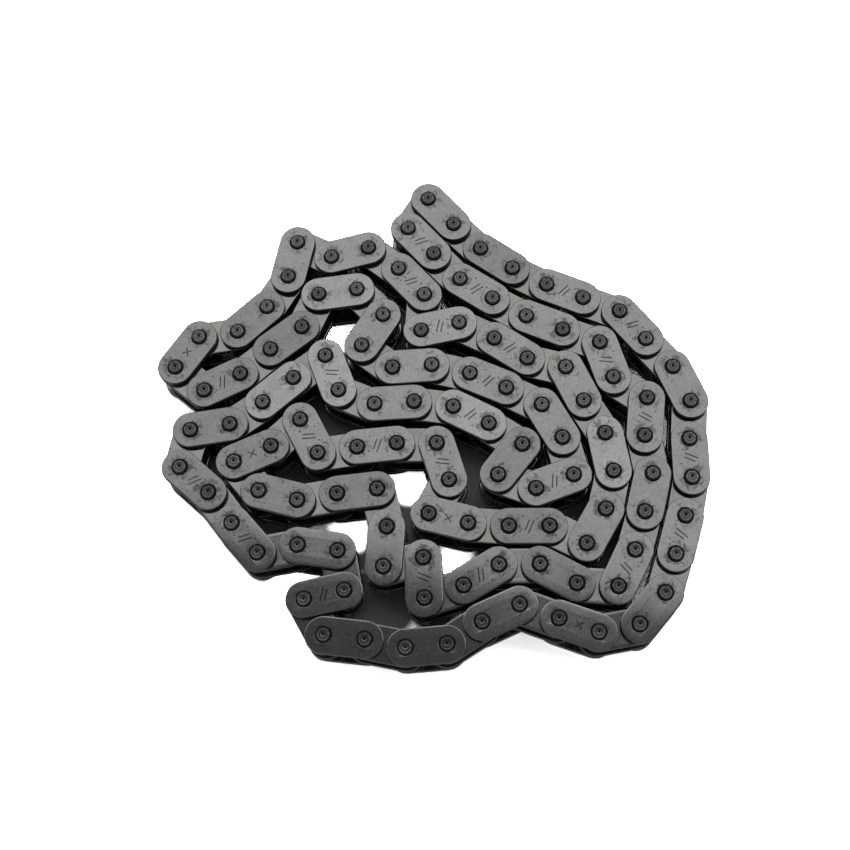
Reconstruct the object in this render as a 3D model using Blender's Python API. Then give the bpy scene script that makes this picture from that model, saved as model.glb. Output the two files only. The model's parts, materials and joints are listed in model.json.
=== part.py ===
"""Endless bush timing chain, one row wide, lying on its side in a loose folded pile.

The chain has outer links (two plates riveted on two pins) and inner links (two plates
pressed on two bushes), and each pin turns in the bush of the next link. It lies flat:
every pin stands along +Z. The stretch along the right side is free to swing outward,
link by link, and the loop is opened at the pivot where that stretch begins.
The origin is at the centre of the footprint, on the surface that the chain lies on.
Link 0 begins at pivot 0, link 1 at pivot 1, and so on round the loop. Even links are
outer links and odd links are inner links.
"""

import math

import bmesh
import bpy
import numpy as np
from mathutils import Matrix

MM = 0.001

# Sizes in millimetres
PITCH = 9.525
OUTER_END_GAP = 0.725
INNER_END_GAP = 0.925
PLATE_THICKNESS = 1.3
INNER_WIDTH = 5.7
SIDE_CLEARANCE = 0.3
TOOTH_GAP = 3.325
BUSH_WALL = 1.0
BORE_CLEARANCE = 0.3
PIN_TAPER = 0.6
PIN_PROTRUSION = 0.9
SEAT_GAP = 0.3
LAY_CLEARANCE = 0.3

# Facets: sides of a round piece, and steps round each end of a plate
ROUND_SIDES = 6
OUTER_END_STEPS = 4
INNER_END_STEPS = 3
FINE_SIDES = 12
FINE_END_STEPS = 6

OUTER_PLATE_WIDTH = PITCH - OUTER_END_GAP
INNER_PLATE_WIDTH = PITCH - INNER_END_GAP
BUSH_RADIUS = (PITCH - TOOTH_GAP) / 2
BORE_RADIUS = BUSH_RADIUS - BUSH_WALL
PIN_RADIUS = BORE_RADIUS - BORE_CLEARANCE
PIN_TIP_RADIUS = PIN_RADIUS - PIN_TAPER / 2

# Heights of the plates' middle planes above the middle of the chain
INNER_PLATE_LEVEL = (INNER_WIDTH + PLATE_THICKNESS) / 2
OUTER_PLATE_LEVEL = INNER_PLATE_LEVEL + PLATE_THICKNESS + SIDE_CLEARANCE
CHAIN_MIDDLE = OUTER_PLATE_LEVEL + PLATE_THICKNESS / 2 + PIN_PROTRUSION

LINK_COUNT = 118
LAST_LINK = LINK_COUNT - 1
FREE_LINK_COUNT = 20
RUN_LINK_COUNT = 3
LONG_RUN_COUNT = 4

# How the chain lies: where each stretch begins, in pitches from the middle of the pile,
# and the heading of each of its links in whole degrees, anticlockwise from +X
STRETCHES = [
    # From the top corner down the right side
    ((-0.12, 5.95), [-47, -45, -34, -28, -22, -22, -50, -49, -66, -95]),
    ((6.46, -0.70), [-89, -102, -106, -107, -130, -169, 161, 160, -155, -145]),
    # Along the bottom to the left corner and back up
    ((0.44, -5.86), [-175, 169, 174, 120, 13, 101, 172, -169, 132, 129]),
    ((-5.51, -2.11), [139, 78, 9, 36, 41, 37, -69, -22, 4, -8]),
    # Through the middle, up and over to the left side
    ((0.58, 0.15), [-27, -33, -128, -21, 21, 105, 120, 153, 157, 167]),
    ((0.02, 1.27), [-176, 143, 58, 134, -172, -114, -142, -138, -154, 142]),
    ((-6.54, 1.21), [56, 9, 43, 59, 78, -25, 15, -37, -47, -94]),
    # Back down through the middle and along the lower left
    ((-0.26, 2.22), [12, -26, -33, -14, -64, -59, -80, -102, -119, 153]),
    ((2.94, -2.93), [-179, 176, 166, 60, 108, 180, -174, -171, 118, -135]),
    ((-4.00, -0.90), [-156, -49, -14, 10, 7, -75, -94, 13, -88, 18]),
    # Up inside the right side to the top corner
    ((0.84, -4.43), [31, 1, -28, -4, 65, 73, 77, 100, 84, 147]),
    ((4.62, 0.94), [108, 160, 158, 150, 147, 133, 133, 58]),
]


def is_outer(link):
    return link % 2 == 0


def plate_width(link):
    if is_outer(link):
        return OUTER_PLATE_WIDTH
    return INNER_PLATE_WIDTH


def laid_pivots():
    """Pivots as the stretches place them, before the links are pulled to one length."""
    pivots = []
    for start, headings in STRETCHES:
        point = np.array(start) * PITCH
        for heading in headings:
            pivots.append(point)
            angle = math.radians(heading)
            point = point + PITCH * np.array([math.cos(angle), math.sin(angle)])
    return np.array(pivots)


def share_along(point, start, end):
    """How far along a segment its nearest point to another point lies, from 0 to 1."""
    run = end - start
    return float(np.clip(np.dot(point - start, run) / np.dot(run, run), 0.0, 1.0))


def nearest_shares(first, second):
    """Where two segments come nearest: the share along each, and the distance."""
    candidates = []
    for share in (0.0, 1.0):
        point = first[0] + (first[1] - first[0]) * share
        candidates.append((share, share_along(point, *second)))
        point = second[0] + (second[1] - second[0]) * share
        candidates.append((share_along(point, *first), share))
    best = None
    for one, other in candidates:
        near = first[0] + (first[1] - first[0]) * one
        far = second[0] + (second[1] - second[0]) * other
        distance = float(np.linalg.norm(near - far))
        if best is None or distance < best[2]:
            best = (one, other, distance, near - far)
    return best


def length_rows(pivots):
    """One row for each link: it has to be one pitch long."""
    rows = []
    misses = []
    for link in range(LINK_COUNT):
        following = (link + 1) % LINK_COUNT
        span = pivots[following] - pivots[link]
        length = np.linalg.norm(span)
        row = np.zeros((LINK_COUNT, 2))
        row[following] += span / length
        row[link] -= span / length
        rows.append(row.ravel())
        misses.append(PITCH - length)
    return rows, misses


def clearance_rows(pivots):
    """One row for each two plates on the same level that lie too near each other."""
    rows = []
    misses = []
    middles = (pivots + np.roll(pivots, -1, axis=0)) / 2
    for link in range(LINK_COUNT):
        for other in range(link + 2, LINK_COUNT, 2):
            if np.linalg.norm(middles[link] - middles[other]) > 2 * PITCH:
                continue
            ends = (link, (link + 1) % LINK_COUNT)
            other_ends = (other, (other + 1) % LINK_COUNT)
            one, two, distance, way = nearest_shares(pivots[list(ends)], pivots[list(other_ends)])
            miss = LAY_CLEARANCE - (distance - plate_width(link))
            if miss <= 0:
                continue
            way = way / max(distance, 0.001)
            row = np.zeros((LINK_COUNT, 2))
            row[ends[0]] += way * (1 - one)
            row[ends[1]] += way * one
            row[other_ends[0]] -= way * (1 - two)
            row[other_ends[1]] -= way * two
            rows.append(row.ravel())
            misses.append(miss + 0.01)
    return rows, misses


def settled_pivots():
    """Pivots with every link one pitch long and neighbouring strands clear of each other."""
    pivots = laid_pivots()
    for _ in range(60):
        rows, misses = length_rows(pivots)
        more_rows, more_misses = clearance_rows(pivots)
        misses = np.array(misses + more_misses)
        if np.abs(misses).max() < 0.00001:
            break
        shift = np.linalg.lstsq(np.array(rows + more_rows), misses, rcond=None)[0]
        pivots = pivots + np.clip(shift, -0.6, 0.6).reshape(-1, 2)
    middle = (pivots.max(axis=0) + pivots.min(axis=0)) / 2
    return pivots - middle


def new_object(name, mesh, collection):
    made = bpy.data.objects.new(name, mesh)
    collection.objects.link(made)
    return made


def combined(base, others, operation):
    """The mesh that is left when other meshes are joined to a base or cut from it."""
    carrier = new_object("carrier", base, bpy.context.scene.collection)
    helpers = []
    for mesh, place in others:
        helper = new_object("helper", mesh, bpy.context.scene.collection)
        helper.matrix_world = place
        helpers.append(helper)
        step = carrier.modifiers.new("step", "BOOLEAN")
        step.operation = operation
        step.solver = "EXACT"
        step.object = helper
    bpy.context.view_layer.update()
    graph = bpy.context.evaluated_depsgraph_get()
    result = bpy.data.meshes.new_from_object(carrier.evaluated_get(graph))
    for used in helpers + [carrier]:
        bpy.data.objects.remove(used)
    return result


def shift(x=0.0, y=0.0, z=0.0):
    return Matrix.Translation((x * MM, y * MM, z * MM))


def arc(centre_x, radius, start, end, steps):
    """Points along an arc about a centre on the X axis, angles in degrees."""
    points = []
    for step in range(steps + 1):
        angle = math.radians(start + (end - start) * step / steps)
        points.append((centre_x + radius * math.cos(angle), radius * math.sin(angle)))
    return points


def add_outline(curve, points):
    spline = curve.splines.new("POLY")
    spline.points.add(len(points) - 1)
    for point, (x, y) in zip(spline.points, points):
        point.co = (x * MM, y * MM, 0.0, 1.0)
    spline.use_cyclic_u = True


def flat_solid(outlines, thickness):
    """A filled outline, with holes where further outlines lie inside the first."""
    curve = bpy.data.curves.new("outline", "CURVE")
    curve.dimensions = "2D"
    curve.fill_mode = "BOTH"
    curve.extrude = thickness / 2 * MM
    for outline in outlines:
        add_outline(curve, outline)
    holder = new_object("holder", curve, bpy.context.scene.collection)
    bpy.context.view_layer.update()
    graph = bpy.context.evaluated_depsgraph_get()
    mesh = bpy.data.meshes.new_from_object(holder.evaluated_get(graph))
    bpy.data.objects.remove(holder)
    shape = bmesh.new()
    shape.from_mesh(mesh)
    bmesh.ops.remove_doubles(shape, verts=shape.verts, dist=0.00001)
    bmesh.ops.recalc_face_normals(shape, faces=shape.faces)
    shape.to_mesh(mesh)
    shape.free()
    return mesh


def circumscribed(radius, sides):
    """Radius to the corners of a polygon whose flats lie at the given radius."""
    return radius / math.cos(math.pi / sides)


def plate(width, end_steps, hole_radius=None, hole_sides=FINE_SIDES):
    """A straight-sided plate with round ends, its first pivot at the origin."""
    outline = arc(0.0, width / 2, 90, 270, end_steps) + arc(PITCH, width / 2, -90, 90, end_steps)
    outlines = [outline]
    if hole_radius:
        corner = circumscribed(hole_radius, hole_sides)
        for centre_x in (0.0, PITCH):
            outlines.append(arc(centre_x, corner, 0, 360, hole_sides)[:-1])
    return flat_solid(outlines, PLATE_THICKNESS)


def cylinder(radius, length, sides, turn=0.0):
    shape = bmesh.new()
    bmesh.ops.create_cone(
        shape, cap_ends=True, segments=sides, radius1=radius * MM, radius2=radius * MM,
        depth=length * MM, matrix=Matrix.Rotation(turn, 4, "Z"))
    mesh = bpy.data.meshes.new("cylinder")
    shape.to_mesh(mesh)
    shape.free()
    return mesh


def pin(sides, foot=None):
    """A pin whose staked ends taper above the plates, or one staked end on its own foot."""
    reach = PIN_PROTRUSION + PLATE_THICKNESS / 2
    length = 2 * OUTER_PLATE_LEVEL
    if foot is not None:
        length = foot
    mesh = cylinder(PIN_RADIUS, length, sides)
    shape = bmesh.new()
    shape.from_mesh(mesh)
    shape.faces.ensure_lookup_table()
    taper = (PIN_RADIUS - PIN_TIP_RADIUS) * math.cos(math.pi / sides)
    ends = [face for face in shape.faces if abs(face.normal.z) > 0.9]
    if foot is not None:
        ends = [face for face in ends if face.normal.z > 0]
    bmesh.ops.inset_individual(shape, faces=ends, thickness=taper * MM, depth=reach * MM)
    shape.to_mesh(mesh)
    shape.free()
    return mesh


def outer_link(end_steps, sides):
    """Two outer plates on two pins, in one piece."""
    shaft = pin(sides)
    flat = plate(OUTER_PLATE_WIDTH, end_steps)
    places = [shift(), shift(x=PITCH)]
    lower = combined(flat, [(shaft, place @ shift(z=OUTER_PLATE_LEVEL)) for place in places], "UNION")
    return combined(lower, [(flat, shift(z=2 * OUTER_PLATE_LEVEL))], "UNION")


def inner_link(end_steps, sides, first_open=True, second_open=True):
    """Two inner plates on two bushes, in one piece, bored where a separate pin turns."""
    flat = plate(INNER_PLATE_WIDTH, end_steps)
    bush = cylinder(BUSH_RADIUS, INNER_WIDTH + PLATE_THICKNESS, sides)
    bore = cylinder(circumscribed(BORE_RADIUS, sides), 4 * OUTER_PLATE_LEVEL, sides)
    places = [shift(), shift(x=PITCH)]
    bushes = [(bush, place @ shift(z=INNER_PLATE_LEVEL)) for place in places]
    whole = combined(flat, bushes + [(flat, shift(z=2 * INNER_PLATE_LEVEL))], "UNION")
    bored = [place for place, wanted in zip(places, (first_open, second_open)) if wanted]
    if bored:
        whole = combined(whole, [(bore, place @ shift(z=INNER_PLATE_LEVEL)) for place in bored], "DIFFERENCE")
    return whole


def base_level(link):
    """Height of the lower plate's middle plane, which is the origin of a whole link's mesh."""
    if is_outer(link):
        return CHAIN_MIDDLE - OUTER_PLATE_LEVEL
    return CHAIN_MIDDLE - INNER_PLATE_LEVEL


def steel(name, colour, roughness):
    material = bpy.data.materials.new(name)
    material.use_nodes = True
    shader = material.node_tree.nodes["Principled BSDF"]
    shader.inputs["Base Color"].default_value = (*colour, 1.0)
    shader.inputs["Metallic"].default_value = 0.85
    shader.inputs["Roughness"].default_value = roughness
    material.diffuse_color = (*colour, 1.0)
    return material


class Chain:
    """The laid chain: its pivots, its shared link meshes and the objects made from them."""

    def __init__(self):
        self.pivots = settled_pivots()
        self.collection = bpy.data.collections.new("timing_chain")
        bpy.context.scene.collection.children.link(self.collection)
        self.outer_steel = steel("outer_plate_steel", (0.33, 0.32, 0.31), 0.45)
        self.inner_steel = steel("inner_plate_steel", (0.38, 0.37, 0.35), 0.45)
        self.pin_steel = steel("pin_steel", (0.16, 0.16, 0.15), 0.40)
        self.meshes = {}
        self.base = new_object("chain_base", None, self.collection)
        self.hinges = {}

    def point(self, pivot):
        return self.pivots[pivot % LINK_COUNT]

    def heading(self, link):
        span = self.point(link + 1) - self.point(link)
        return math.atan2(span[1], span[0])

    def shared(self, key, make):
        if key not in self.meshes:
            self.meshes[key] = make()
        return self.meshes[key]

    def whole_link(self, link, first_open=True, second_open=True):
        if is_outer(link):
            return self.shared("outer", lambda: outer_link(OUTER_END_STEPS, ROUND_SIDES))
        key = ("inner", first_open, second_open)
        return self.shared(
            key, lambda: inner_link(INNER_END_STEPS, ROUND_SIDES, first_open, second_open))

    def hinge(self, pivot, parent):
        """An empty on the axis of a hinge, carried by the body that the hinge turns on."""
        empty = new_object("hinge_%03d" % pivot, None, self.collection)
        empty.parent = parent
        x, y = self.point(pivot)
        origin = parent.get("origin", (0.0, 0.0))
        empty.location = ((x - origin[0]) * MM, (y - origin[1]) * MM, 0.0)
        empty["origin"] = (float(x), float(y))
        self.hinges[pivot] = empty
        return empty

    def place(self, name, mesh, material, carrier, at, level, turn):
        """An object on its carrier, at a height above the ground and turned to a heading."""
        made = new_object(name, mesh, self.collection)
        mesh.materials.clear()
        mesh.materials.append(material)
        made.parent = carrier
        origin = carrier.get("origin", (0.0, 0.0))
        made.location = ((at[0] - origin[0]) * MM, (at[1] - origin[1]) * MM, level * MM)
        made.rotation_euler = (0.0, 0.0, turn)
        return made

    def place_link(self, link, carrier, pivot):
        """A whole link that hangs on one of its own two pivots."""
        turn = self.heading(link)
        if pivot != link:
            turn += math.pi
        material = self.outer_steel if is_outer(link) else self.inner_steel
        self.place("link_%03d" % link, self.whole_link(link), material, carrier,
                   self.point(pivot), base_level(link), turn)

    def place_tip_link(self, link, carrier, pivot):
        """The outer link at the open pivot: its plates, its pin, and staked ends only there."""
        hole = PIN_RADIUS + SEAT_GAP
        turn = self.heading(link) + math.pi
        outlines = arc(0.0, OUTER_PLATE_WIDTH / 2, 90, 270, FINE_END_STEPS)
        outlines += arc(PITCH, OUTER_PLATE_WIDTH / 2, -90, 90, FINE_END_STEPS)
        corner = circumscribed(hole, FINE_SIDES)
        flat = flat_solid([outlines, arc(0.0, corner, 0, 360, FINE_SIDES)[:-1]], PLATE_THICKNESS)
        stub = pin(FINE_SIDES, foot=PLATE_THICKNESS / 4)
        foot_level = -PLATE_THICKNESS / 8
        upper = combined(flat, [(stub, shift(x=PITCH, z=foot_level))], "UNION")
        flip = Matrix.Rotation(math.pi, 4, "X")
        lower = combined(flat, [(stub, shift(x=PITCH, z=-foot_level) @ flip)], "UNION")
        at = self.point(pivot)
        for side, mesh, level in (("upper", upper, 1), ("lower", lower, -1)):
            self.place("link_%03d_%s_plate" % (link, side), mesh, self.outer_steel, carrier, at,
                       CHAIN_MIDDLE + level * OUTER_PLATE_LEVEL, turn)
        shaft = self.shared("fine pin", lambda: pin(FINE_SIDES))
        self.place("link_%03d_pin" % link, shaft, self.pin_steel, carrier, at, CHAIN_MIDDLE, turn)

    def place_open_link(self, link, carrier, pivot):
        """A link in separate pieces: two plates, and the two pins or bushes between them."""
        turn = self.heading(link) + math.pi
        at = self.point(pivot)
        if is_outer(link):
            width, level, steel_used, word = OUTER_PLATE_WIDTH, OUTER_PLATE_LEVEL, self.outer_steel, "pin"
            hole = PIN_RADIUS + SEAT_GAP
            shaft = self.shared("fine pin", lambda: pin(FINE_SIDES))
        else:
            width, level, steel_used, word = INNER_PLATE_WIDTH, INNER_PLATE_LEVEL, self.inner_steel, "bush"
            hole = BUSH_RADIUS + SEAT_GAP
            shaft = self.shared("fine bush", bush_tube)
        flat = plate(width, FINE_END_STEPS, hole)
        for side, sign in (("upper", 1), ("lower", -1)):
            self.place("link_%03d_%s_plate" % (link, side), flat, steel_used, carrier, at,
                       CHAIN_MIDDLE + sign * level, turn)
        for letter, end in (("a", pivot - 1), ("b", pivot)):
            self.place("link_%03d_%s_%s" % (link, word, letter), shaft, self.pin_steel, carrier,
                       self.point(end), CHAIN_MIDDLE, turn)

    def place_run(self, first, last, carrier):
        """Links that never move against each other in this pile, joined pin to bush."""
        at = self.point(first)
        base = None
        others = []
        for link in range(first, last + 1):
            mesh = self.whole_link(link, first_open=link == first, second_open=link == last)
            x, y = self.point(link) - at
            spot = shift(x, y, base_level(link) - base_level(first)) @ Matrix.Rotation(self.heading(link), 4, "Z")
            if base is None:
                base = mesh.copy()
                base.transform(spot)
            else:
                others.append((mesh, spot))
        joined = combined(base, others, "UNION")
        self.place("run_%03d_%03d" % (first, last), joined, self.outer_steel, carrier,
                   at, base_level(first), 0.0)


def bush_tube():
    """A bush that runs through both inner plates, flush with their outer faces."""
    length = INNER_WIDTH + 2 * PLATE_THICKNESS
    tube = cylinder(BUSH_RADIUS, length, FINE_SIDES)
    bore = cylinder(circumscribed(BORE_RADIUS, FINE_SIDES), 2 * length, FINE_SIDES)
    return combined(tube, [(bore, shift())], "DIFFERENCE")


def build():
    for old in list(bpy.data.objects):
        bpy.data.objects.remove(old)
    chain = Chain()
    carrier = chain.base
    for link in range(FREE_LINK_COUNT - 1, -1, -1):
        carrier = chain.hinge(link + 1, carrier)
        if link == 0:
            chain.place_tip_link(link, carrier, link + 1)
        elif link < 3:
            chain.place_open_link(link, carrier, link + 1)
        else:
            chain.place_link(link, carrier, link + 1)
    carrier = chain.hinge(LAST_LINK, chain.base)
    chain.place_link(LAST_LINK, carrier, LAST_LINK)
    first = FREE_LINK_COUNT
    run = 0
    while first < LAST_LINK:
        count = RUN_LINK_COUNT
        if run < LONG_RUN_COUNT:
            count += 1
        last = min(first + count, LAST_LINK) - 1
        chain.place_run(first, last, chain.base)
        first = last + 1
        run += 1


build()
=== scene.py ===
"""Looks of the timing chain: riveted steel links, laid in a loose folded pile.

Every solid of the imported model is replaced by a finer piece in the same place: plates with
rolled edges and tight holes, pins with staked, dimpled ends, and bored bushes.
"""

import json
import math
import random

import bmesh
import bpy
import numpy as np
from mathutils import Matrix, Vector


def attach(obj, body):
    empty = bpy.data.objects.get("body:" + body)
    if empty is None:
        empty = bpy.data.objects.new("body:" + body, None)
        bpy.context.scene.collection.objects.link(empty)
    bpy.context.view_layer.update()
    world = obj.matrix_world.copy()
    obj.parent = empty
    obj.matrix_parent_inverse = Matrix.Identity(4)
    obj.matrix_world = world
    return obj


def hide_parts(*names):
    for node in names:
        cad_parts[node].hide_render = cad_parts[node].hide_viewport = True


MM = 0.001

# Sizes in millimetres, as in the part's source
PITCH = 9.525
OUTER_END_GAP = 0.725
INNER_END_GAP = 0.925
PLATE_THICKNESS = 1.3
INNER_WIDTH = 5.7
SIDE_CLEARANCE = 0.3
PIN_RADIUS = 1.8
PIN_PROTRUSION = 0.9
BUSH_RADIUS = 3.1
LAY_CLEARANCE = 0.3

OUTER_PLATE_WIDTH = PITCH - OUTER_END_GAP
INNER_PLATE_WIDTH = PITCH - INNER_END_GAP
INNER_PLATE_LEVEL = (INNER_WIDTH + PLATE_THICKNESS) / 2
OUTER_PLATE_LEVEL = INNER_PLATE_LEVEL + PLATE_THICKNESS + SIDE_CLEARANCE
CHAIN_MIDDLE = OUTER_PLATE_LEVEL + PLATE_THICKNESS / 2 + PIN_PROTRUSION

# Finer sizes that only the looks have
EDGE_ROUND = 0.26
PIN_FIT = 0.03
BUSH_WALL = 1.22
BUSH_RECESS = 0.05
STUB_RECESS = 0.05
WELD_REACH = 0.0005

# How finely arcs are cut, and what counts as a plate's face and as a sharp edge
END_STEPS = 14
HOLE_STEPS = 20
PIN_STEPS = 24
BEVEL_STEPS = 3
FACE_SLOPE = 0.78
SHARP_ANGLE = 38

# How the chain lies: where each stretch begins, in pitches from the middle of the pile,
# and the heading of each of its links in whole degrees, anticlockwise from +X
STRETCHES = [
    # From the top corner down the right side
    ((-0.12, 5.95), [-47, -45, -34, -28, -22, -22, -50, -49, -66, -95]),
    ((6.46, -0.70), [-89, -102, -106, -107, -130, -169, 161, 160, -155, -145]),
    # Along the bottom to the left corner and back up
    ((0.44, -5.86), [-175, 169, 174, 120, 13, 101, 172, -169, 132, 129]),
    ((-5.51, -2.11), [139, 78, 9, 36, 41, 37, -69, -22, 4, -8]),
    # Through the middle, up and over to the left side
    ((0.58, 0.15), [-27, -33, -128, -21, 21, 105, 120, 153, 157, 167]),
    ((0.02, 1.27), [-176, 143, 58, 134, -172, -114, -142, -138, -154, 142]),
    ((-6.54, 1.21), [56, 9, 43, 59, 78, -25, 15, -37, -47, -94]),
    # Back down through the middle and along the lower left
    ((-0.26, 2.22), [12, -26, -33, -14, -64, -59, -80, -102, -119, 153]),
    ((2.94, -2.93), [-179, 176, 166, 60, 108, 180, -174, -171, 118, -135]),
    ((-4.00, -0.90), [-156, -49, -14, 10, 7, -75, -94, 13, -88, 18]),
    # Up inside the right side to the top corner
    ((0.84, -4.43), [31, 1, -28, -4, 65, 73, 77, 100, 84, 147]),
    ((4.62, 0.94), [108, 160, 158, 150, 147, 133, 133, 58]),
]
LINK_COUNT = 118

# How the lay settles: rounds at most, the miss at which it is settled, the longest shift of
# a pivot in one round, a little more than each clearance that is missed, and the least
# distance that is divided by
SETTLE_ROUNDS = 60
SETTLED_MISS = 0.00001
LONGEST_SHIFT = 0.6
CLEARANCE_PUSH = 0.01
LEAST_DISTANCE = 0.001

# Upper plates with a mark: a scribed cross, or a plain stamp of two bars and three dots
CROSS_MARK = 1.0
STAMP_MARK = 2.0
MARK_MARGIN = 0.3
CROSS_LINKS = (16, 60, 82, 90)
STAMPED_LINKS = (4, 6, 10, 12, 24, 28, 30, 36, 40, 44, 48, 58, 68, 70, 72, 80, 84, 86, 88,
                 98, 100, 104, 108, 110, 114, 116)

# Tones that links and pins vary in by chance, the links drawn paler and darker than the rest, and how
# much paler and how much darker they are
TONE_RANGE = (0.95, 1.05)
PIN_TONE_RANGE = (0.8, 1.25)
PALE_LINKS = (16, 18, 24, 34, 36, 40, 54, 70, 76)
DIM_LINKS = (2, 30, 32, 42, 56, 58, 60, 62, 80, 90, 92, 94, 102)
PALE_SHARE = 1.2
DIM_SHARE = 0.82
DRAW_SEED = 7

# Colours of the steel in linear light
OUTER_LIGHT = (0.300, 0.301, 0.304)
OUTER_DARK = (0.236, 0.235, 0.236)
INNER_LIGHT = (0.315, 0.307, 0.294)
INNER_DARK = (0.235, 0.227, 0.216)
WARM_FILM = (0.36, 0.33, 0.29)
STAIN_BROWN = (0.085, 0.072, 0.06)
PIT_BROWN = (0.045, 0.036, 0.03)
HOLE_SHADE = (0.03, 0.028, 0.026)
RIM_WEAR_AND_HIGHLIGHT = (0.52, 0.51, 0.5)
MARK_BROWN = (0.035, 0.028, 0.025)
# The plates' edges and sides: dark, partly from oil and partly painted shade
EDGE_DARK = (0.024, 0.024, 0.024)
EDGE_LIGHT = (0.075, 0.073, 0.069)
PIN_DARK = (0.095, 0.094, 0.092)
PIN_LIGHT = (0.15, 0.146, 0.138)
PIN_RING_HIGHLIGHT = (0.36, 0.35, 0.33)
PIN_CHAMFER_SHADE = (0.02, 0.02, 0.02)
PIN_DIMPLE_SHADE = (0.02, 0.018, 0.016)
PIN_SIDE_SHADE = (0.012, 0.012, 0.012)

# How metallic each steel is, how strong its bump is, and how deep, in metres
PLATE_METALLIC = 0.9
EDGE_METALLIC = 0.6
PIN_METALLIC = 0.8
PLATE_BUMP = 0.03
EDGE_BUMP = 0.3
PIN_BUMP = 0.25
BUMP_DEPTH = 0.00004
PLATE_ROUGHNESS = 0.13

# The floor in metres, and its level for the eye, with painted light on the pale patches, in mirrors
# and for the light it gives, and the share of painted shade on the dark patches
FLOOR_REACH = 3.0
FLOOR_DROP = 0.0001
SHOWN_LEVEL = 10.0
PAINTED_LIGHT_LEVEL = 60.0
MIRRORED_LEVEL = 2.0
PLAIN_LEVEL = 0.25
PAINTED_SHADE_SHARE = 0.96

# Patches of the floor between the strands, each a place and a reach in millimetres: those darkened by
# painted shade, and those lifted to white by painted light. They are whole to a little short of their
# reach, and fade out a little past it
PATCH_CORE = 1.0
PATCH_FADE = 2.0
PAINTED_SHADE_PATCHES = [(18, -6, 34), (42, -31, 10), (-28, 5, 26), (-42, -20, 10), (-53, -10, 5),
                (-6, 28, 8), (-12, -44, 9), (-15, -33, 4), (1, -46, 5)]
PAINTED_LIGHT_PATCHES = [(-24, 26, 5), (-5, -13, 6), (-19, -26, 5), (6, -33, 4), (-32, -38, 6)]

HIGH_BOX_TURN = -10

# The camera, from the photograph: focal length in pixels of an 850 pixel wide frame,
# distance to the pin tops, tilts in degrees, and where its axis meets them
FRAME_PIXELS = 850.0
FOCAL_PIXELS = 1427.67
CAMERA_DISTANCE = 340.81
SENSOR_WIDTH = 36.0
CAMERA_CLIP = (0.01, 20.0)
CAMERA_TILT = 18.15
CAMERA_SLANT = 1.74
AIM_X = -1.207
AIM_Y = -3.693


def is_outer(link):
    return link % 2 == 0


def plate_width(link):
    if is_outer(link):
        return OUTER_PLATE_WIDTH
    return INNER_PLATE_WIDTH


def laid_pivots():
    """Pivots as the stretches place them, before the links are pulled to one length."""
    pivots = []
    for start, headings in STRETCHES:
        point = np.array(start) * PITCH
        for heading in headings:
            pivots.append(point)
            angle = math.radians(heading)
            point = point + PITCH * np.array([math.cos(angle), math.sin(angle)])
    return np.array(pivots)


def share_along(point, start, end):
    """How far along a segment its nearest point to another point lies, from 0 to 1."""
    run = end - start
    return float(np.clip(np.dot(point - start, run) / np.dot(run, run), 0.0, 1.0))


def nearest_shares(first, second):
    """Where two segments come nearest: the share along each, the distance and the way."""
    candidates = []
    for share in (0.0, 1.0):
        point = first[0] + (first[1] - first[0]) * share
        candidates.append((share, share_along(point, *second)))
        point = second[0] + (second[1] - second[0]) * share
        candidates.append((share_along(point, *first), share))
    best = None
    for one, other in candidates:
        near = first[0] + (first[1] - first[0]) * one
        far = second[0] + (second[1] - second[0]) * other
        distance = float(np.linalg.norm(near - far))
        if best is None or distance < best[2]:
            best = (one, other, distance, near - far)
    return best


def length_rows(pivots):
    """One row for each link: it has to be one pitch long."""
    rows = []
    misses = []
    for link in range(LINK_COUNT):
        following = (link + 1) % LINK_COUNT
        span = pivots[following] - pivots[link]
        length = np.linalg.norm(span)
        row = np.zeros((LINK_COUNT, 2))
        row[following] += span / length
        row[link] -= span / length
        rows.append(row.ravel())
        misses.append(PITCH - length)
    return rows, misses


def clearance_rows(pivots):
    """One row for each two plates on the same level that lie too near each other."""
    rows = []
    misses = []
    middles = (pivots + np.roll(pivots, -1, axis=0)) / 2
    for link in range(LINK_COUNT):
        for other in range(link + 2, LINK_COUNT, 2):
            if np.linalg.norm(middles[link] - middles[other]) > 2 * PITCH:
                continue
            ends = (link, (link + 1) % LINK_COUNT)
            other_ends = (other, (other + 1) % LINK_COUNT)
            spans = pivots[list(ends)], pivots[list(other_ends)]
            one, two, distance, way = nearest_shares(*spans)
            miss = LAY_CLEARANCE - (distance - plate_width(link))
            if miss <= 0:
                continue
            way = way / max(distance, LEAST_DISTANCE)
            row = np.zeros((LINK_COUNT, 2))
            row[ends[0]] += way * (1 - one)
            row[ends[1]] += way * one
            row[other_ends[0]] -= way * (1 - two)
            row[other_ends[1]] -= way * two
            rows.append(row.ravel())
            misses.append(miss + CLEARANCE_PUSH)
    return rows, misses


def settled_pivots():
    """Pivots with every link one pitch long and neighbouring strands clear of each other."""
    pivots = laid_pivots()
    for _ in range(SETTLE_ROUNDS):
        rows, misses = length_rows(pivots)
        more_rows, more_misses = clearance_rows(pivots)
        misses = np.array(misses + more_misses)
        if np.abs(misses).max() < SETTLED_MISS:
            break
        shift = np.linalg.lstsq(np.array(rows + more_rows), misses, rcond=None)[0]
        pivots = pivots + np.clip(shift, -LONGEST_SHIFT, LONGEST_SHIFT).reshape(-1, 2)
    middle = (pivots.max(axis=0) + pivots.min(axis=0)) / 2
    return pivots - middle


# Places in a piece's list of materials
PLATE, WALL, PIN, INNER_PLATE = range(4)


class Form:
    """A mesh as arrays, in millimetres, with the material index of every face."""

    def __init__(self, points, faces, material):
        self.points = np.array(points, float)
        self.faces = faces
        self.materials = [material] * len(faces)


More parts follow.
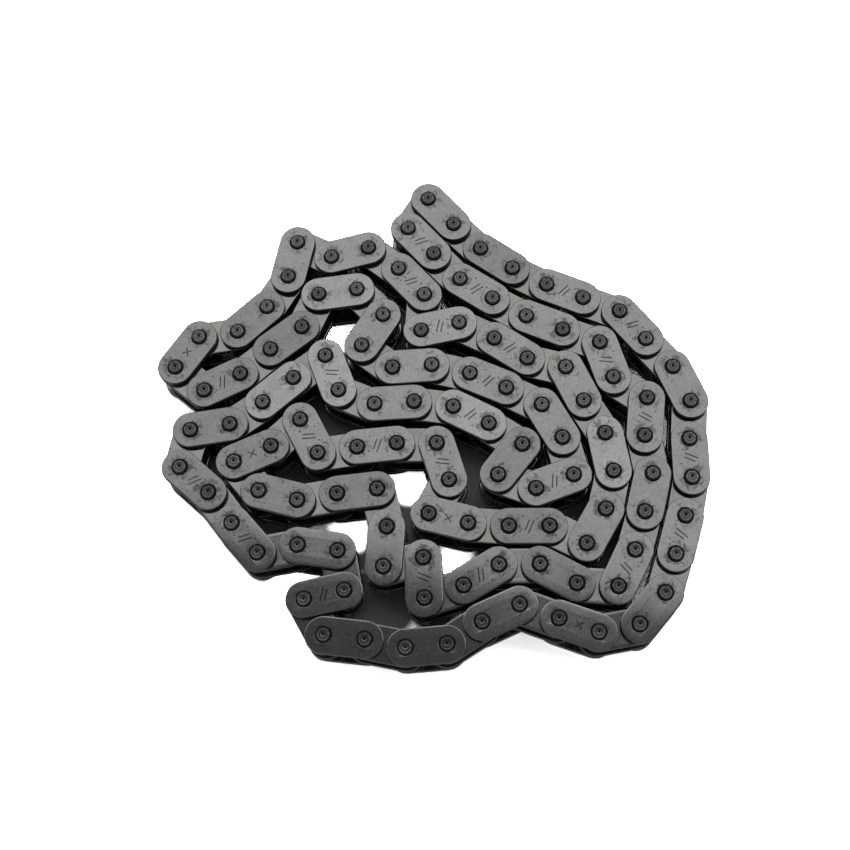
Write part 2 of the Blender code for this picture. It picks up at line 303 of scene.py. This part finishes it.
def arc(centre_x, radius, start, end, steps):
    """Points along an arc about a centre on the X axis, angles in degrees."""
    points = []
    for step in range(steps + 1):
        angle = math.radians(start + (end - start) * step / steps)
        points.append((centre_x + radius * math.cos(angle), radius * math.sin(angle)))
    return points


def add_outline(curve, points):
    spline = curve.splines.new("POLY")
    spline.points.add(len(points) - 1)
    for point, (x, y) in zip(spline.points, points):
        point.co = (x, y, 0.0, 1.0)
    spline.use_cyclic_u = True


def curve_mesh(curve):
    """The mesh that a curve's fill and bevel make."""
    holder = bpy.data.objects.new("holder", curve)
    bpy.context.scene.collection.objects.link(holder)
    bpy.context.view_layer.update()
    evaluated = holder.evaluated_get(bpy.context.evaluated_depsgraph_get())
    mesh = bpy.data.meshes.new_from_object(evaluated)
    bpy.data.objects.remove(holder)
    return mesh


def plate_form(width, hole_radius):
    """A plate with rolled edges, from a filled outline with two holes and a small bevel."""
    curve = bpy.data.curves.new("outline", "CURVE")
    curve.dimensions = "2D"
    curve.fill_mode = "BOTH"
    curve.extrude = PLATE_THICKNESS / 2 - EDGE_ROUND
    curve.bevel_depth = EDGE_ROUND
    curve.bevel_resolution = BEVEL_STEPS
    curve.offset = -EDGE_ROUND
    near_end = arc(0.0, width / 2, 90, 270, END_STEPS)
    far_end = arc(PITCH, width / 2, -90, 90, END_STEPS)
    add_outline(curve, near_end + far_end)
    for centre_x in (0.0, PITCH):
        add_outline(curve, arc(centre_x, hole_radius, 0, 360, HOLE_STEPS)[:-1])
    shape = bmesh.new()
    shape.from_mesh(curve_mesh(curve))
    bmesh.ops.remove_doubles(shape, verts=shape.verts, dist=WELD_REACH)
    bmesh.ops.recalc_face_normals(shape, faces=shape.faces)
    shape.normal_update()
    points = [vertex.co for vertex in shape.verts]
    faces = [[vertex.index for vertex in face.verts] for face in shape.faces]
    form = Form(points, faces, WALL)
    for index, face in enumerate(shape.faces):
        if abs(face.normal.z) > FACE_SLOPE:
            form.materials[index] = PLATE
    shape.free()
    return form


def turned_form(profile, facets):
    """A closed solid of revolution about Z from (radius, height) points, foot to head.

    Rings named in facets, by their place in the profile, are cut in by flats.
    """
    points = []
    rings = []
    for index, (radius, height) in enumerate(profile):
        if radius == 0.0:
            rings.append([len(points)])
            points.append((0.0, 0.0, height))
            continue
        ring = []
        for step in range(PIN_STEPS):
            angle = 2 * math.pi * step / PIN_STEPS
            reach = radius
            if index in facets:
                reach = radius * (1 - facets[index] * (0.5 - 0.5 * math.cos(TIP_FLATS * angle)))
            ring.append(len(points))
            points.append((reach * math.cos(angle), reach * math.sin(angle), height))
        rings.append(ring)
    faces = []
    for below, above in zip(rings, rings[1:]):
        for step in range(PIN_STEPS):
            following = (step + 1) % PIN_STEPS
            if len(below) == 1:
                faces.append([below[0], above[following], above[step]])
            elif len(above) == 1:
                faces.append([below[step], below[following], above[0]])
            else:
                faces.append([below[step], below[following], above[following], above[step]])
    return Form(points, faces, PIN)


# How far the chamfer of a pin end is cut in by its flats, by place in the staked tip
TIP_FLATS = 6
TIP_FACETS = {8: 0.06, 9: 0.08, 10: 0.10, 11: 0.04}


def staked_tip():
    """Radius and height from the centre dimple out to the side, where the pin leaves the plate."""
    top = CHAIN_MIDDLE
    return [
        (0.0, top - 0.42),
        (0.18, top - 0.34),
        (0.31, top - 0.10),
        (0.42, top - 0.03),
        (0.76, top - 0.02),
        (0.86, top - 0.10),
        (0.94, top - 0.10),
        (1.03, top),
        (1.26, top),
        (1.33, top - 0.05),
        (1.54, top - 0.31),
        (PIN_RADIUS - 0.05, top - 0.64),
        (PIN_RADIUS, top - 0.76),
        (PIN_RADIUS, top - PIN_PROTRUSION),
    ]


def pin_form():
    """A pin, its two ends staked: a faceted chamfer, a shallow ring and a centre dimple."""
    tip = staked_tip()
    profile = [(radius, -height) for radius, height in tip] + tip[::-1]
    facets = {}
    for index, share in TIP_FACETS.items():
        facets[index] = share
        facets[len(profile) - 1 - index] = share
    return turned_form(profile, facets)


def stub_form(side):
    """Only the staked end of a pin, from just inside its plate; side is 1 or -1."""
    cut = OUTER_PLATE_LEVEL - PLATE_THICKNESS / 2 + STUB_RECESS
    profile = [(0.0, cut), (PIN_RADIUS, cut)] + staked_tip()[::-1]
    facets = {len(profile) - 1 - index: share for index, share in TIP_FACETS.items()}
    form = turned_form(profile, facets)
    if side < 0:
        form.points = form.points * np.array([1, -1, -1])
    return form


def bush_form():
    """A bored bush between the inner plates, let into them almost to their outer faces."""
    inner = BUSH_RADIUS - BUSH_WALL
    half = INNER_WIDTH / 2 + PLATE_THICKNESS - BUSH_RECESS
    points = []
    faces = []
    profile = [(inner, -half), (BUSH_RADIUS, -half), (BUSH_RADIUS, half), (inner, half)]
    for radius, height in profile:
        for step in range(PIN_STEPS):
            angle = 2 * math.pi * step / PIN_STEPS
            points.append((radius * math.cos(angle), radius * math.sin(angle), height))
    for ring in range(len(profile)):
        below = ring * PIN_STEPS
        above = (ring + 1) % len(profile) * PIN_STEPS
        for step in range(PIN_STEPS):
            following = (step + 1) % PIN_STEPS
            faces.append([below + step, below + following, above + following, above + step])
    return Form(points, faces, PIN)


class Piece:
    """Several forms gathered into one mesh.

    Its points keep their link's own coordinates, its tone and its mark for the materials.
    """

    def __init__(self, name):
        self.name = name
        self.points = []
        self.faces = []
        self.materials = []
        self.local = []
        self.tone = []
        self.mark = []
        self.count = 0

    def add(self, form, matrix, level, tone, mark):
        """The form, moved by a matrix; level is its height above the link's middle."""
        spots = np.c_[form.points, np.ones(len(form.points))] @ np.array(matrix).T
        self.points.append(spots[:, :3])
        self.faces.extend([[index + self.count for index in face] for face in form.faces])
        self.materials.extend(form.materials)
        self.local.append(form.points + np.array((0.0, 0.0, level)))
        self.tone.append(np.full(len(form.points), tone))
        self.mark.append(np.full(len(form.points), mark))
        self.count += len(form.points)

    def finish(self, materials):
        mesh = bpy.data.meshes.new(self.name)
        points = np.concatenate(self.points) * MM
        mesh.from_pydata(points.tolist(), [], self.faces)
        for material in materials:
            mesh.materials.append(material)
        mesh.polygons.foreach_set("material_index", self.materials)
        layers = (("local", "FLOAT_VECTOR", "vector", self.local),
                  ("tone", "FLOAT", "value", self.tone),
                  ("mark", "FLOAT", "value", self.mark))
        for name, kind, key, values in layers:
            layer = mesh.attributes.new(name, kind, "POINT")
            layer.data.foreach_set(key, np.concatenate(values).astype(np.float32).ravel())
        mesh.shade_smooth()
        mesh.set_sharp_from_angle(angle=math.radians(SHARP_ANGLE))
        mesh.update()
        made = bpy.data.objects.new(self.name, mesh)
        bpy.context.scene.collection.objects.link(made)
        normals = made.modifiers.new("normals", "WEIGHTED_NORMAL")
        normals.keep_sharp = True
        return made


class Nodes:
    """Short ways to build a node tree."""

    def __init__(self, tree):
        self.tree = tree

    def new(self, kind):
        return self.tree.nodes.new("ShaderNode" + kind)

    def link(self, source, target):
        self.tree.links.new(source, target)

    def math(self, operation, first, second=None):
        node = self.new("Math")
        node.operation = operation
        for index, value in enumerate((first, second)):
            if value is None:
                continue
            if isinstance(value, (int, float)):
                node.inputs[index].default_value = value
            else:
                self.link(value, node.inputs[index])
        return node.outputs[0]

    def add(self, first, second):
        return self.math("ADD", first, second)

    def minus(self, first, second):
        return self.math("SUBTRACT", first, second)

    def times(self, first, second):
        return self.math("MULTIPLY", first, second)

    def larger(self, first, second):
        return self.math("MAXIMUM", first, second)

    def absolute(self, value):
        return self.math("ABSOLUTE", value)

    def length(self, x, y):
        """The length of a flat vector."""
        return self.math("SQRT", self.add(self.times(x, x), self.times(y, y)))

    def equals(self, value, whole_number):
        """1 where a value is the whole number, 0 where it is another."""
        result = self.math("COMPARE", value, whole_number)
        result.node.inputs[2].default_value = MARK_MARGIN
        return result

    def attribute(self, name):
        node = self.new("Attribute")
        node.attribute_name = name
        return node

    def split(self, vector):
        """The three coordinates of a vector."""
        node = self.new("SeparateXYZ")
        self.link(vector, node.inputs[0])
        return node.outputs["X"], node.outputs["Y"], node.outputs["Z"]

    def noise(self, place, scale, detail=3.0, roughness=0.55, distortion=0.0):
        node = self.new("TexNoise")
        node.inputs["Scale"].default_value = scale
        node.inputs["Detail"].default_value = detail
        node.inputs["Roughness"].default_value = roughness
        node.inputs["Distortion"].default_value = distortion
        self.link(place, node.inputs["Vector"])
        return node.outputs["Fac"]

    def ramp(self, value, low, high, start=0.0, end=1.0):
        """A smooth step of a value from one level to another."""
        node = self.new("MapRange")
        node.interpolation_type = "SMOOTHSTEP"
        node.inputs["From Min"].default_value = low
        node.inputs["From Max"].default_value = high
        node.inputs["To Min"].default_value = start
        node.inputs["To Max"].default_value = end
        self.link(value, node.inputs["Value"])
        return node.outputs["Result"]

    def mix(self, share, first, second):
        """From one colour to another, by a share that is a value."""
        node = self.new("Mix")
        node.data_type = "RGBA"
        for socket, value in ((node.inputs[6], first), (node.inputs[7], second)):
            if isinstance(value, tuple):
                socket.default_value = (*value, 1.0)
            else:
                self.link(value, socket)
        self.link(share, node.inputs[0])
        return node.outputs[2]

    def scaled(self, colour, share):
        """A colour made darker or lighter by a value."""
        node = self.new("VectorMath")
        node.operation = "SCALE"
        self.link(colour, node.inputs[0])
        self.link(share, node.inputs["Scale"])
        return node.outputs[0]

    def place(self):
        """Coordinates on the piece, in millimetres of the chain at rest."""
        coordinates = self.new("TexCoord")
        node = self.new("VectorMath")
        node.operation = "SCALE"
        node.inputs["Scale"].default_value = 1 / MM
        self.link(coordinates.outputs["Object"], node.inputs[0])
        return node.outputs[0]

    def mix_shaders(self, share, first, second, target):
        """From one shader to another, into a target socket."""
        node = self.new("MixShader")
        self.link(share, node.inputs[0])
        self.link(first, node.inputs[1])
        self.link(second, node.inputs[2])
        self.link(node.outputs[0], target)


class Steel(Nodes):
    """A new metal material and its node tree."""

    def __init__(self, name, metallic):
        self.material = bpy.data.materials.new(name)
        self.material.use_nodes = True
        super().__init__(self.material.node_tree)
        self.shader = self.tree.nodes["Principled BSDF"]
        self.shader.inputs["Metallic"].default_value = metallic

    def finish(self, colour, roughness, height, strength):
        """Colour, roughness and bump go to the shader."""
        self.link(colour, self.shader.inputs["Base Color"])
        self.link(roughness, self.shader.inputs["Roughness"])
        bump = self.new("Bump")
        bump.inputs["Strength"].default_value = strength
        bump.inputs["Distance"].default_value = BUMP_DEPTH
        self.link(height, bump.inputs["Height"])
        self.link(bump.outputs["Normal"], self.shader.inputs["Normal"])
        return self.material


def link_frame(nodes):
    """Along a link from its middle and across it, and how far its nearer pin and its spine are."""
    along, across, _ = nodes.split(nodes.attribute("local").outputs["Vector"])
    middle = nodes.minus(along, PITCH / 2)
    past_pin = nodes.minus(nodes.absolute(middle), PITCH / 2)
    to_pin = nodes.length(past_pin, across)
    from_spine = nodes.length(nodes.larger(past_pin, 0.0), across)
    return middle, across, to_pin, from_spine


def stroke(nodes, x, y, half_length, half_width, turn, offset=0.0):
    """1 on a thin straight stroke near the middle of a plate, 0 away from it."""
    cosine, sine = math.cos(turn), math.sin(turn)
    along = nodes.add(nodes.times(x, cosine), nodes.times(y, sine))
    across = nodes.minus(nodes.minus(nodes.times(y, cosine), nodes.times(x, sine)), offset)
    on_line = nodes.ramp(nodes.absolute(across), half_width * 0.5, half_width * 1.5, 1.0, 0.0)
    in_length = nodes.ramp(nodes.absolute(along), half_length - 0.15, half_length + 0.1, 1.0, 0.0)
    return nodes.times(on_line, in_length)


def dot(nodes, x, y, at_x, at_y, radius):
    """1 on a small round dot on a plate, 0 away from it."""
    far = nodes.length(nodes.minus(x, at_x), nodes.minus(y, at_y))
    return nodes.ramp(far, radius * 0.6, radius * 1.4, 1.0, 0.0)


def scribed_cross(nodes, x, y):
    """Two strokes of one length, turned by the same angle either way."""
    half_length, half_width, turn = 1.25, 0.14, 0.75
    one = stroke(nodes, x, y, half_length, half_width, turn)
    other = stroke(nodes, x, y, half_length, half_width, -turn)
    return nodes.larger(one, other)


def plain_stamp(nodes, x, y):
    """Two parallel bars and three dots, a plain stamp that stands for no maker."""
    half_width, turn, dot_radius = 0.15, 1.15, 0.19
    long_bar = stroke(nodes, x, y, 1.75, half_width, turn, offset=0.55)
    short_bar = stroke(nodes, x, y, 1.4, half_width, turn, offset=-0.45)
    stamp = nodes.larger(long_bar, short_bar)
    for at_x, at_y in ((2.1, 1.4), (-2.0, -1.7), (1.5, -2.3)):
        stamp = nodes.larger(stamp, dot(nodes, x, y, at_x, at_y, dot_radius))
    return stamp


def plate_steel(name, light, dark, width):
    """Tumbled plate steel: fine mottling, small pits, stains round the pins, painted shade round the
    holes, and a pale rim that is partly worn and partly a painted highlight.
    """
    nodes = Steel(name, PLATE_METALLIC)
    place = nodes.place()
    middle, across, to_pin, from_spine = link_frame(nodes)
    grain = nodes.noise(place, 1.3, 3.0, 0.5)
    cloud = nodes.noise(place, 0.30, 3.0, 0.55, 0.4)
    mottle = nodes.add(nodes.times(grain, 0.45), nodes.times(cloud, 0.55))
    colour = nodes.mix(nodes.ramp(mottle, 0.32, 0.66), dark, light)
    warm = nodes.noise(place, 0.9, 2.0)
    colour = nodes.mix(nodes.ramp(warm, 0.5, 0.75, 0.0, 0.35), colour, WARM_FILM)
    # Stains: dark and brownish, in blotches that favour the pins
    near = nodes.ramp(to_pin, 1.9, 4.2, 0.16, 0.0)
    blotch = nodes.add(nodes.noise(place, 0.55, 5.0, 0.7, 0.8), near)
    stain = nodes.ramp(blotch, 0.59, 0.73, 0.0, 0.74)
    colour = nodes.mix(stain, colour, STAIN_BROWN)
    # Pits: small sparse dark specks
    speck = nodes.ramp(nodes.noise(place, 3.6, 1.0, 0.4), 0.65, 0.71)
    pit = nodes.times(speck, nodes.ramp(cloud, 0.46, 0.6))
    colour = nodes.mix(nodes.times(pit, 0.8), colour, PIT_BROWN)
    # Painted shade in a thin dark line where the pin meets the hole, and a pale rolled rim that is
    # partly worn bright and partly a painted highlight
    ring = nodes.ramp(to_pin, PIN_RADIUS + 0.04, PIN_RADIUS + 0.30, 0.85, 0.0)
    colour = nodes.mix(ring, colour, HOLE_SHADE)
    # The pale rim along the rolled edge: partly a worn edge, partly a painted highlight
    rim_wear_and_highlight = nodes.ramp(from_spine, width / 2 - 0.42, width / 2 - 0.14, 0.0, 0.22)
    colour = nodes.mix(rim_wear_and_highlight, colour, RIM_WEAR_AND_HIGHLIGHT)
    # The mark that the piece gives this plate, if any
    mark = nodes.attribute("mark").outputs["Fac"]
    cross = nodes.times(scribed_cross(nodes, middle, across), nodes.equals(mark, CROSS_MARK))
    stamp = nodes.times(plain_stamp(nodes, middle, across), nodes.equals(mark, STAMP_MARK))
    cut = nodes.larger(cross, stamp)
    colour = nodes.mix(nodes.times(cut, 0.92), colour, MARK_BROWN)
    colour = nodes.scaled(colour, nodes.attribute("tone").outputs["Fac"])
    rough = nodes.ramp(grain, 0.3, 0.7, PLATE_ROUGHNESS - 0.01, PLATE_ROUGHNESS + 0.01)
    rough = nodes.add(rough, nodes.times(stain, 0.12))
    height = nodes.minus(nodes.times(grain, 0.5), nodes.times(pit, 0.8))
    height = nodes.minus(height, nodes.times(cut, 0.6))
    height = nodes.add(height, nodes.times(cloud, 0.5))
    return nodes.finish(colour, rough, height, PLATE_BUMP)


def oily_and_shaded_wall_steel():
    """The punched edges of the plates: dark, partly from oil and partly as painted shade, with a fine
    grain.
    """
    nodes = Steel("punched_edge_steel", EDGE_METALLIC)
    grain = nodes.noise(nodes.place(), 3.0, 3.0)
    colour = nodes.mix(nodes.ramp(grain, 0.35, 0.7), EDGE_DARK, EDGE_LIGHT)
    rough = nodes.ramp(grain, 0.3, 0.7, 0.38, 0.55)
    return nodes.finish(colour, rough, grain, EDGE_BUMP)


def pin_steel():
    """Dark hardened pin steel, with a painted highlight ring at the edge of its ends, and painted
    shade on the chamfer, in the dimple and down its side.
    """
    nodes = Steel("pin_steel", PIN_METALLIC)
    grain = nodes.noise(nodes.place(), 2.4, 4.0, 0.6)
    x, y, z = nodes.split(nodes.attribute("local").outputs["Vector"])
    height = nodes.absolute(z)
    radius = nodes.length(x, y)
    colour = nodes.mix(nodes.ramp(grain, 0.35, 0.7), PIN_DARK, PIN_LIGHT)
    # A pale ring at the edge of the flat end: a painted highlight
    ring = nodes.times(nodes.ramp(radius, 1.12, 1.22), nodes.ramp(radius, 1.30, 1.42, 1.0, 0.0))
    colour = nodes.mix(nodes.times(ring, 0.45), colour, PIN_RING_HIGHLIGHT)
    # Painted shade on the chamfer
    colour = nodes.mix(nodes.ramp(radius, 1.34, 1.50, 0.0, 0.5), colour, PIN_CHAMFER_SHADE)
    # Painted shade in the centre dimple
    colour = nodes.mix(nodes.ramp(radius, 0.20, 0.38, 0.9, 0.0), colour, PIN_DIMPLE_SHADE)
    # Painted shade down the side of the pin
    side = nodes.ramp(height, CHAIN_MIDDLE - 0.60, CHAIN_MIDDLE - 0.34, 0.85, 0.0)
    colour = nodes.mix(side, colour, PIN_SIDE_SHADE)
    colour = nodes.scaled(colour, nodes.attribute("tone").outputs["Fac"])
    rough = nodes.ramp(grain, 0.3, 0.7, 0.20, 0.30)
    return nodes.finish(colour, rough, grain, PIN_BUMP)


class Looks:
    """The laid chain: its pivots, its shared forms and the pieces built from them."""

    def __init__(self):
        self.pivots = settled_pivots()
        self.outer = plate_form(OUTER_PLATE_WIDTH, PIN_RADIUS + PIN_FIT)
        self.inner = plate_form(INNER_PLATE_WIDTH, BUSH_RADIUS + PIN_FIT)
        self.pin = pin_form()
        self.bush = bush_form()
        self.outer_steel = plate_steel("outer_plate_steel", OUTER_LIGHT, OUTER_DARK,
                                       OUTER_PLATE_WIDTH)
        self.inner_steel = plate_steel("inner_plate_steel", INNER_LIGHT, INNER_DARK,
                                       INNER_PLATE_WIDTH)
        self.wall = oily_and_shaded_wall_steel()
        self.pin_material = pin_steel()
        draw = random.Random(DRAW_SEED)
        self.tones = [draw.uniform(*TONE_RANGE) for _ in range(LINK_COUNT)]
        for link in PALE_LINKS:
            self.tones[link] *= PALE_SHARE
        for link in DIM_LINKS:
            self.tones[link] *= DIM_SHARE
        self.pin_turns = [draw.uniform(0, 2 * math.pi / TIP_FLATS) for _ in range(LINK_COUNT)]
        self.pin_tones = [draw.uniform(*PIN_TONE_RANGE) for _ in range(LINK_COUNT)]

    def point(self, pivot):
        return self.pivots[pivot % LINK_COUNT]

    def matrix(self, link, level):
        """Where a link's form goes, at a level above the chain's middle."""
        x, y = self.point(link)
        span = self.point(link + 1) - self.point(link)
        turn = Matrix.Rotation(math.atan2(span[1], span[0]), 4, "Z")
        return Matrix.Translation((x, y, CHAIN_MIDDLE + level)) @ turn

    def mark(self, link):
        if link in CROSS_LINKS:
            return CROSS_MARK
        if link in STAMPED_LINKS:
            return STAMP_MARK
        return 0.0

    def add_plate(self, piece, link, side):
        """The upper plate of a link where side is 1, the lower one where it is -1."""
        form, level = self.inner, side * INNER_PLATE_LEVEL
        if is_outer(link):
            form, level = self.outer, side * OUTER_PLATE_LEVEL
        mark = self.mark(link) if side > 0 else 0.0
        piece.add(form, self.matrix(link, level), level, self.tones[link], mark)

    def add_pin(self, piece, pivot, form=None):
        x, y = self.point(pivot)
        turn = Matrix.Rotation(self.pin_turns[pivot % LINK_COUNT], 4, "Z")
        matrix = Matrix.Translation((x, y, CHAIN_MIDDLE)) @ turn
        piece.add(form or self.pin, matrix, 0.0, self.pin_tones[pivot % LINK_COUNT], 0.0)

    def add_bush(self, piece, pivot):
        x, y = self.point(pivot)
        piece.add(self.bush, Matrix.Translation((x, y, CHAIN_MIDDLE)), 0.0, 1.0, 0.0)

    def add_link(self, piece, link):
        for side in (1, -1):
            self.add_plate(piece, link, side)
        for pivot in (link, link + 1):
            if is_outer(link):
                self.add_pin(piece, pivot)
            else:
                self.add_bush(piece, pivot)

    def add_run(self, piece, first, last):
        """Whole links from first to last, the inner plates with a material of their own."""
        for link in range(first, last + 1):
            start = len(piece.materials)
            self.add_link(piece, link)
            if is_outer(link):
                continue
            for index in range(start, len(piece.materials)):
                if piece.materials[index] == PLATE:
                    piece.materials[index] = INNER_PLATE

    def add_part(self, piece, link, words):
        """One plate, pin or bush of a link, by the words of its name."""
        if words[-1] == "plate":
            side = 1 if words[0] == "upper" else -1
            self.add_plate(piece, link, side)
            if link == 0:
                self.add_pin(piece, 0, stub_form(side))
            return
        pivot = link if words[-1] == "a" else link + 1
        if words[0] == "pin":
            self.add_pin(piece, pivot)
        else:
            self.add_bush(piece, pivot)

    def build_piece(self, node, body):
        """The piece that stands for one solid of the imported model, under a name of its own."""
        piece = Piece(node.replace("run_", "links_").replace("link_", "part_"))
        words = node.split("_")
        first = int(words[1])
        materials = [self.outer_steel, self.wall, self.pin_material]
        if words[0] == "run":
            materials.append(self.inner_steel)
            self.add_run(piece, first, int(words[2]))
        else:
            if not is_outer(first):
                materials[PLATE] = self.inner_steel
            if len(words) == 2:
                self.add_link(piece, first)
            else:
                self.add_part(piece, first, words[2:])
        made = piece.finish(materials)
        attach(made, body)
        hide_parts(node)


def patches(nodes, along, across, spots):
    """1 on any of the round patches, fading to 0 over their rims."""
    share = 0.0
    for at_x, at_y, reach in spots:
        far = nodes.length(nodes.minus(along, at_x), nodes.minus(across, at_y))
        share = nodes.larger(share, nodes.ramp(far, reach - PATCH_CORE, reach + PATCH_FADE, 1.0, 0.0))
    return share


def diffuse(nodes, level):
    """A plain grey surface, its level a number or a value."""
    shader = nodes.new("BsdfDiffuse")
    if isinstance(level, float):
        shader.inputs["Color"].default_value = (level, level, level, 1.0)
    else:
        nodes.link(level, shader.inputs["Color"])
    return shader.outputs[0]


def build_floor():
    """A pale floor that shows white and keeps the shadow between the strands, with painted shade on
    some patches between them and painted light on others.
    """
    mesh = bpy.data.meshes.new("floor")
    corners = ((-1, -1), (1, -1), (1, 1), (-1, 1))
    points = [(x * FLOOR_REACH, y * FLOOR_REACH, -FLOOR_DROP) for x, y in corners]
    mesh.from_pydata(points, [], [(0, 1, 2, 3)])
    floor = bpy.data.objects.new("floor", mesh)
    bpy.context.scene.collection.objects.link(floor)
    material = bpy.data.materials.new("floor")
    material.use_nodes = True
    nodes = Nodes(material.node_tree)
    path = nodes.new("LightPath")
    eye = path.outputs["Is Camera Ray"]
    mirror = path.outputs["Is Glossy Ray"]
    through = path.outputs["Is Transmission Ray"]
    along, across, _ = nodes.split(nodes.place())
    # Painted light lifts the pale patches to white and painted shade darkens the dark ones, for the
    # eye only
    painted_light = patches(nodes, along, across, PAINTED_LIGHT_PATCHES)
    dark = nodes.times(patches(nodes, along, across, PAINTED_SHADE_PATCHES), PAINTED_SHADE_SHARE)
    dark = nodes.times(dark, nodes.minus(1.0, painted_light))
    level = nodes.add(nodes.times(painted_light, PAINTED_LIGHT_LEVEL), SHOWN_LEVEL)
    level = nodes.times(nodes.times(level, nodes.minus(1.0, dark)), eye)
    level = nodes.larger(level, nodes.times(mirror, MIRRORED_LEVEL))
    level = nodes.larger(level, nodes.times(through, MIRRORED_LEVEL))
    seen = nodes.larger(nodes.larger(eye, mirror), through)
    surface = nodes.tree.nodes["Material Output"].inputs["Surface"]
    nodes.mix_shaders(seen, diffuse(nodes, PLAIN_LEVEL), diffuse(nodes, level), surface)
    mesh.materials.append(material)


def build_world():
    """A dim room, lighter near the horizon and at the far side, white past the floor's end."""
    world = bpy.data.worlds.new("room")
    bpy.context.scene.world = world
    world.use_nodes = True
    nodes = Nodes(world.node_tree)
    _, far_side, height = nodes.split(nodes.new("TexCoord").outputs["Generated"])
    # Low down 1 and high up 0, the glow of the far side, and an even band along the horizon
    low = nodes.ramp(height, 0.25, 0.75, 1.0, 0.0)
    glow = nodes.ramp(far_side, -0.5, 0.7, 0.06, 0.34)
    horizon = nodes.ramp(height, 0.15, 0.45, 0.50, 0.10)
    room = nodes.tree.nodes["Background"]
    nodes.link(nodes.add(nodes.times(low, glow), horizon), room.inputs["Color"])
    white = nodes.new("Background")
    white.inputs["Color"].default_value = (1.0, 1.0, 1.0, 1.0)
    eye = nodes.new("LightPath").outputs["Is Camera Ray"]
    surface = nodes.tree.nodes["World Output"].inputs["Surface"]
    nodes.mix_shaders(eye, room.outputs[0], white.outputs[0], surface)


def area_light(name, place, width, height, radiance):
    """A soft box aimed at the pile, its power set from the brightness of its face."""
    data = bpy.data.lights.new(name, "AREA")
    data.shape = "RECTANGLE"
    data.size = width
    data.size_y = height
    data.energy = radiance * math.pi * width * height
    lamp = bpy.data.objects.new(name, data)
    bpy.context.scene.collection.objects.link(lamp)
    lamp.location = place
    lamp.rotation_euler = (-Vector(place)).to_track_quat("-Z", "Y").to_euler()
    return lamp


def build_lights():
    # The high box faces straight down, turned a little about the vertical
    high_box = area_light("high_box", (0.02, 0.29, 0.513), width=0.90, height=0.44, radiance=1.0)
    high_box.rotation_euler = (0.0, 0.0, math.radians(HIGH_BOX_TURN))
    area_light("side_box", (-0.35, -0.75, 0.34), width=0.55, height=0.30, radiance=0.12)
    area_light("rim_box", (0.80, 0.16, 0.12), width=0.40, height=0.16, radiance=0.9)
    area_light("far_box", (0.15, 1.10, 0.42), width=1.10, height=0.30, radiance=0.45)


def build_camera():
    """The photograph's own camera: nearly overhead, a little towards the near side."""
    data = bpy.data.cameras.new("camera")
    data.sensor_width = SENSOR_WIDTH
    data.lens = FOCAL_PIXELS / FRAME_PIXELS * data.sensor_width
    data.clip_start, data.clip_end = CAMERA_CLIP
    camera = bpy.data.objects.new("camera", data)
    bpy.context.scene.collection.objects.link(camera)
    turn = Matrix.Rotation(math.radians(CAMERA_TILT), 4, "X")
    turn = turn @ Matrix.Rotation(math.radians(CAMERA_SLANT), 4, "Y")
    aim = Matrix.Translation((AIM_X * MM, AIM_Y * MM, 2 * CHAIN_MIDDLE * MM))
    camera.matrix_world = aim @ turn @ Matrix.Translation((0.0, 0.0, CAMERA_DISTANCE * MM))
    bpy.context.scene.camera = camera


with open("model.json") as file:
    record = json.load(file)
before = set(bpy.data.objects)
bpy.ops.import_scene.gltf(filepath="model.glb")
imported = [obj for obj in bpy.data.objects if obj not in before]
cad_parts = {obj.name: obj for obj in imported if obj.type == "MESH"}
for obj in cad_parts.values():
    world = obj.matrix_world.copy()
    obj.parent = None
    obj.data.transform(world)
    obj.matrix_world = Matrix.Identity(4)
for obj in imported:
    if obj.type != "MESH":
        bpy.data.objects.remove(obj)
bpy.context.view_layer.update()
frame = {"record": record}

chain = Looks()
for body_name, members in sorted(frame["record"]["behaviour"]["bodies"].items()):
    for node_name in members:
        chain.build_piece(node_name, body_name)

build_floor()
build_world()
build_lights()
build_camera()
bpy.context.scene.view_settings.view_transform = "Standard"
